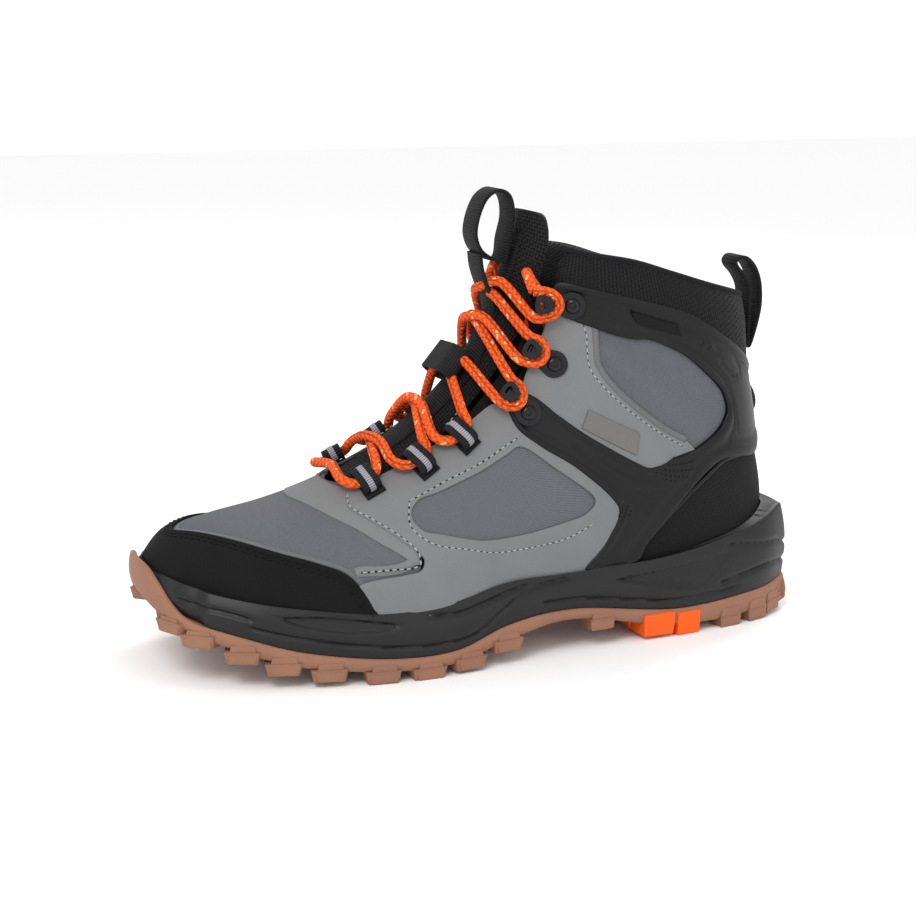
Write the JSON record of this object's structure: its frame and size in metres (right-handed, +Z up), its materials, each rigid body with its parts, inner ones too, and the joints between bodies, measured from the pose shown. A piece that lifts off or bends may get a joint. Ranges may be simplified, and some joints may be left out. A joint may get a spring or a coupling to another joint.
{
  "type": "hiking boot",
  "caption": "Left mid-height hiking boot with a lugged cup sole, overlaid textile upper, moulded ankle frame, padded collar and tongue, round lace and webbing pull loops.",
  "frame": {"origin": "on the ground under the middle of the boot's box", "axes": "+X from toe to heel, -Y to the lateral side of this left boot, +Z up"},
  "size_m": [0.3154, 0.1108, 0.2098],
  "materials": {
    "gum_rubber": "matte moulded gum rubber",
    "orange_rubber": "matte moulded rubber",
    "midsole_foam": "matte moulded foam",
    "shank_plastic": "moulded nylon",
    "board": "pressed fibre board",
    "insole_foam": "felt over foam",
    "black_nubuck": "matte waxed nubuck",
    "stiffener": "thermoplastic sheet",
    "grey_textile": "fine woven textile",
    "grey_overlay": "matte coated microfibre",
    "frame_plastic": "satin moulded thermoplastic",
    "black_mesh": "coarse woven mesh",
    "lining_mesh": "soft knitted lining",
    "webbing": "ribbed grosgrain",
    "label": "blank woven label",
    "gunmetal": "dark plated steel",
    "lace_cord": "braided round lace",
    "aglet_film": "shrunk film"
  },
  "bodies": {
    "boot": {"outsole": "gum_rubber", "heel_insert": "orange_rubber", "midsole": "midsole_foam", "shank": "shank_plastic", "insole_board": "board", "toe_cap": "black_nubuck", "toe_puff": "stiffener", "vamp_textile": "grey_textile", "mudguard_lateral": "grey_overlay", "mudguard_medial": "grey_overlay", "quarter_textile_lateral": "grey_textile", "quarter_textile_medial": "grey_textile", "ankle_panel_lateral": "grey_overlay", "ankle_panel_medial": "grey_overlay", "ankle_textile_lateral": "grey_textile", "ankle_textile_medial": "grey_textile", "ankle_frame_lateral": "frame_plastic", "ankle_frame_medial": "frame_plastic", "heel_textile": "black_mesh", "heel_piping_lateral": "frame_plastic", "heel_piping_medial": "frame_plastic", "heel_counter": "stiffener", "heel_badge": "frame_plastic", "side_label_lateral": "label", "side_label_medial": "label", "band_label_lateral": "webbing", "band_label_medial": "webbing", "lining_vamp": "lining_mesh", "lining_quarters": "lining_mesh", "collar_pad": "black_mesh", "tongue_lower": "black_mesh", "gusset_lateral": "lining_mesh", "gusset_medial": "lining_mesh", "tongue_keeper": "webbing", "lace_loops_lateral": "webbing", "lace_loops_medial": "webbing", "lace_hooks_lateral": "gunmetal", "lace_hooks_medial": "gunmetal", "hook_rivets_lateral": "gunmetal", "hook_rivets_medial": "gunmetal", "lace": "lace_cord", "lace_tail_lateral": "lace_cord", "lace_tail_medial": "lace_cord", "aglet_lateral": "aglet_film", "aglet_medial": "aglet_film"},
    "insole": {"insole": "insole_foam"},
    "tongue_top": {"tongue_upper": "black_mesh"},
    "tongue_pull": {"tongue_loop": "webbing"},
    "heel_pull": {"heel_loop": "webbing"}
  },
  "joints": [
    {"name": "insole_lift", "type": "hinge", "parent": "boot", "child": "insole", "pos_m": [-0.1425, 0, 0.0375], "axis": [0, -1, 0], "range_deg": [0, 8]},
    {"name": "tongue_fold", "type": "hinge", "parent": "boot", "child": "tongue_top", "pos_m": [0.0145, 0.005, 0.1735], "axis": [0, -1, 0], "range_deg": [-6, 24]},
    {"name": "tongue_loop_swing", "type": "hinge", "parent": "tongue_top", "child": "tongue_pull", "pos_m": [0.0125, 0.005, 0.1775], "axis": [0, -1, 0], "range_deg": [-4, 30]},
    {"name": "heel_loop_swing", "type": "hinge", "parent": "boot", "child": "heel_pull", "pos_m": [0.1428, 0.005, 0.13], "axis": [0, 1, 0], "range_deg": [0, 50]}
  ]
}
